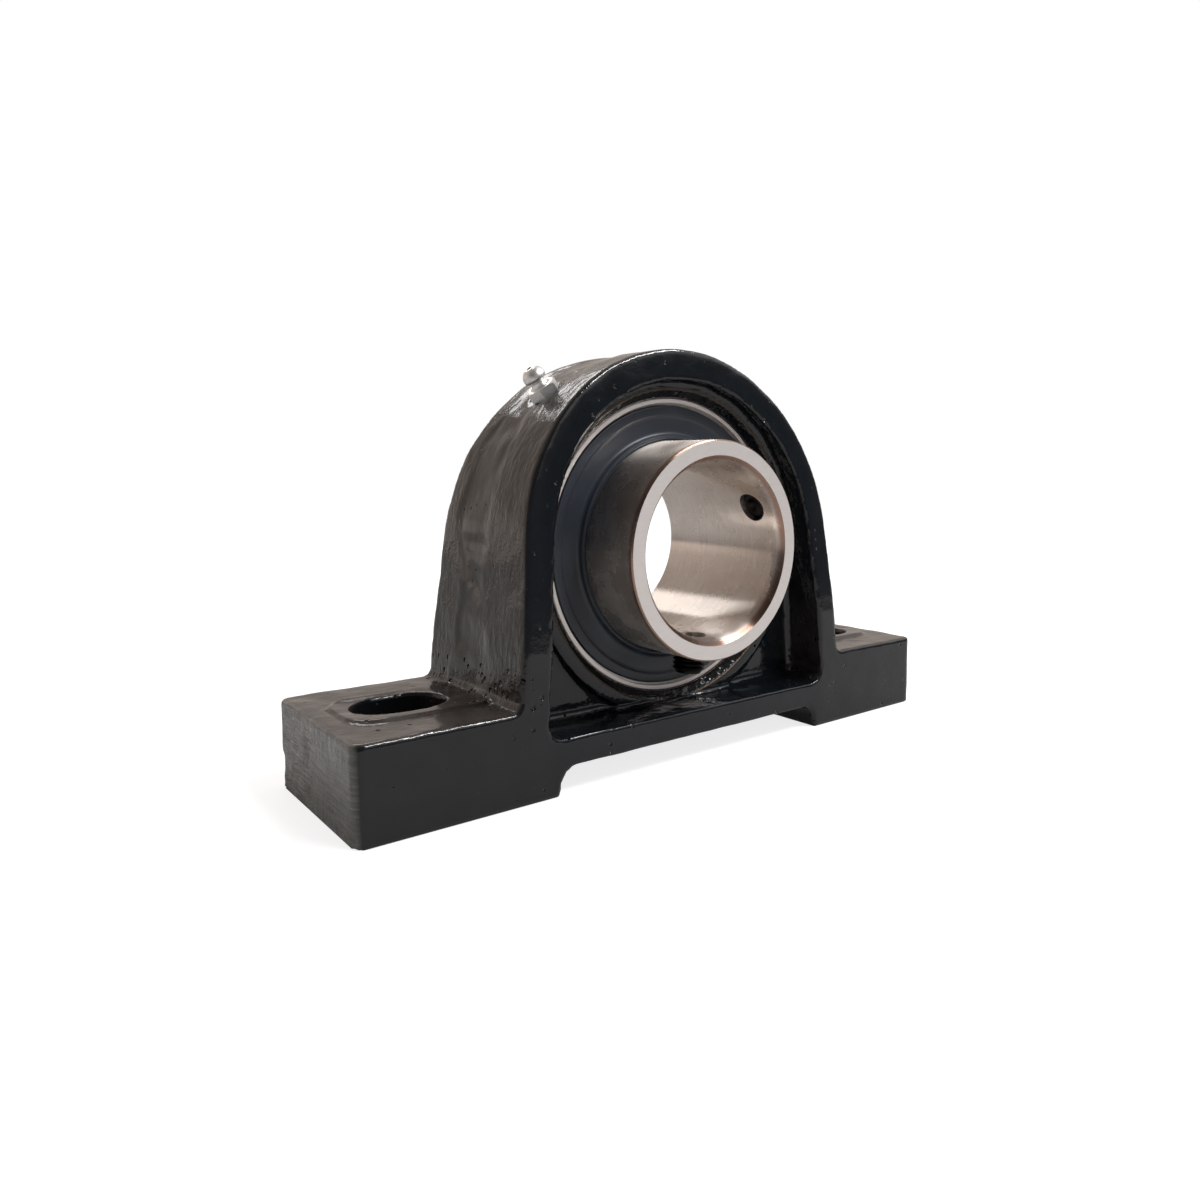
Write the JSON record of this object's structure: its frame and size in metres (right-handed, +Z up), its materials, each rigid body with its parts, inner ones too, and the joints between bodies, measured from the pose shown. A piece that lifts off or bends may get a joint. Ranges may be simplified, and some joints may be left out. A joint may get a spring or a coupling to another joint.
{
  "type": "pillow block bearing",
  "caption": "Shaft support with an arched cast housing on two slotted feet, a self-aligning ball bearing insert held on the shaft by set screws, and a grease nipple.",
  "frame": {"origin": "bottom of the base, midway between the two bolt slots, under the middle of the spherical seat", "axes": "+X along the base, -Y out of the inner ring's long side with the set screws, +Z up from the mounting face"},
  "size_m": [0.206, 0.0596, 0.1185],
  "materials": {
    "housing_iron": "black gloss enamel over sand cast iron",
    "ring_steel": "ground",
    "ball_steel": "polished",
    "pressed_steel": "pressed sheet",
    "seal_rubber": "moulded",
    "flinger_rubber": "blue-black rubber coat on a pressed steel disc",
    "black_steel": "black oxide",
    "nipple_zinc": "bright zinc plate"
  },
  "bodies": {
    "housing": {"housing": "housing_iron", "nipple_body": "nipple_zinc"},
    "check_ball": {"nipple_ball": "ball_steel", "nipple_spring": "ball_steel"},
    "locating_pin": {"locating_pin": "ring_steel"},
    "outer_ring": {"outer_ring": "ring_steel", "front_seal_plate": "pressed_steel", "rear_seal_plate": "pressed_steel", "front_seal_lip": "seal_rubber", "rear_seal_lip": "seal_rubber"},
    "inner_ring": {"inner_ring": "ring_steel", "front_flinger": "flinger_rubber", "rear_flinger": "flinger_rubber"},
    "cage": {"cage_front": "pressed_steel", "cage_rear": "pressed_steel", "cage_rivets": "pressed_steel"},
    "ball_01": {"ball_01": "ball_steel"},
    "ball_02": {"ball_02": "ball_steel"},
    "ball_03": {"ball_03": "ball_steel"},
    "ball_04": {"ball_04": "ball_steel"},
    "ball_05": {"ball_05": "ball_steel"},
    "ball_06": {"ball_06": "ball_steel"},
    "ball_07": {"ball_07": "ball_steel"},
    "ball_08": {"ball_08": "ball_steel"},
    "ball_09": {"ball_09": "ball_steel"},
    "ball_10": {"ball_10": "ball_steel"},
    "set_screw_a": {"set_screw_a": "black_steel"},
    "set_screw_b": {"set_screw_b": "black_steel"}
  },
  "joints": [
    {"name": "grease_check", "type": "slide", "parent": "housing", "child": "check_ball", "axis": [0.6428, 0, -0.766], "range_m": [0, 0.0006], "stiffness_N_per_m": 300, "springref_m": -0.001},
    {"name": "align_tilt", "type": "hinge", "parent": "housing", "child": "locating_pin", "pos_m": [0, 0, 0.0615], "axis": [1, 0, 0], "range_deg": [-2, 2]},
    {"name": "align_swivel", "type": "hinge", "parent": "locating_pin", "child": "outer_ring", "pos_m": [0, 0, 0.0615], "axis": [0, 0, 1], "range_deg": [-2, 2]},
    {"name": "shaft_spin", "type": "hinge", "parent": "outer_ring", "child": "inner_ring", "pos_m": [0, 0, 0.0615], "axis": [0, 1, 0], "continuous": true},
    {"name": "cage_spin", "type": "hinge", "parent": "outer_ring", "child": "cage", "pos_m": [0, 0, 0.0615], "axis": [0, 1, 0], "continuous": true},
    {"name": "ball_01_spin", "type": "hinge", "parent": "cage", "child": "ball_01", "pos_m": [-0.01082, 0, 0.09479], "axis": [0, 1, 0], "continuous": true},
    {"name": "ball_02_spin", "type": "hinge", "parent": "cage", "child": "ball_02", "pos_m": [-0.02832, 0, 0.08207], "axis": [0, 1, 0], "continuous": true},
    {"name": "ball_03_spin", "type": "hinge", "parent": "cage", "child": "ball_03", "pos_m": [-0.035, 0, 0.0615], "axis": [0, 1, 0], "continuous": true},
    {"name": "ball_04_spin", "type": "hinge", "parent": "cage", "child": "ball_04", "pos_m": [-0.02832, 0, 0.04093], "axis": [0, 1, 0], "continuous": true},
    {"name": "ball_05_spin", "type": "hinge", "parent": "cage", "child": "ball_05", "pos_m": [-0.01082, 0, 0.02821], "axis": [0, 1, 0], "continuous": true},
    {"name": "ball_06_spin", "type": "hinge", "parent": "cage", "child": "ball_06", "pos_m": [0.01082, 0, 0.02821], "axis": [0, 1, 0], "continuous": true},
    {"name": "ball_07_spin", "type": "hinge", "parent": "cage", "child": "ball_07", "pos_m": [0.02832, 0, 0.04093], "axis": [0, 1, 0], "continuous": true},
    {"name": "ball_08_spin", "type": "hinge", "parent": "cage", "child": "ball_08", "pos_m": [0.035, 0, 0.0615], "axis": [0, 1, 0], "continuous": true},
    {"name": "ball_09_spin", "type": "hinge", "parent": "cage", "child": "ball_09", "pos_m": [0.02832, 0, 0.08207], "axis": [0, 1, 0], "continuous": true},
    {"name": "ball_10_spin", "type": "hinge", "parent": "cage", "child": "ball_10", "pos_m": [0.01082, 0, 0.09479], "axis": [0, 1, 0], "continuous": true},
    {"name": "screw_a_travel", "type": "slide", "parent": "inner_ring", "child": "set_screw_a", "axis": [-0.8829, 0, -0.4695], "range_m": [-0.004, 0.001]},
    {"name": "screw_b_travel", "type": "slide", "parent": "inner_ring", "child": "set_screw_b", "axis": [0.0872, 0, 0.9962], "range_m": [-0.004, 0.001]}
  ],
  "couplings": [
    {"joint": "cage_spin", "follows": "shaft_spin", "ratio": 0.40929},
    {"joint": "ball_01_spin", "follows": "shaft_spin", "ratio": -2.6652},
    {"joint": "ball_02_spin", "follows": "shaft_spin", "ratio": -2.6652},
    {"joint": "ball_03_spin", "follows": "shaft_spin", "ratio": -2.6652},
    {"joint": "ball_04_spin", "follows": "shaft_spin", "ratio": -2.6652},
    {"joint": "ball_05_spin", "follows": "shaft_spin", "ratio": -2.6652},
    {"joint": "ball_06_spin", "follows": "shaft_spin", "ratio": -2.6652},
    {"joint": "ball_07_spin", "follows": "shaft_spin", "ratio": -2.6652},
    {"joint": "ball_08_spin", "follows": "shaft_spin", "ratio": -2.6652},
    {"joint": "ball_09_spin", "follows": "shaft_spin", "ratio": -2.6652},
    {"joint": "ball_10_spin", "follows": "shaft_spin", "ratio": -2.6652}
  ]
}
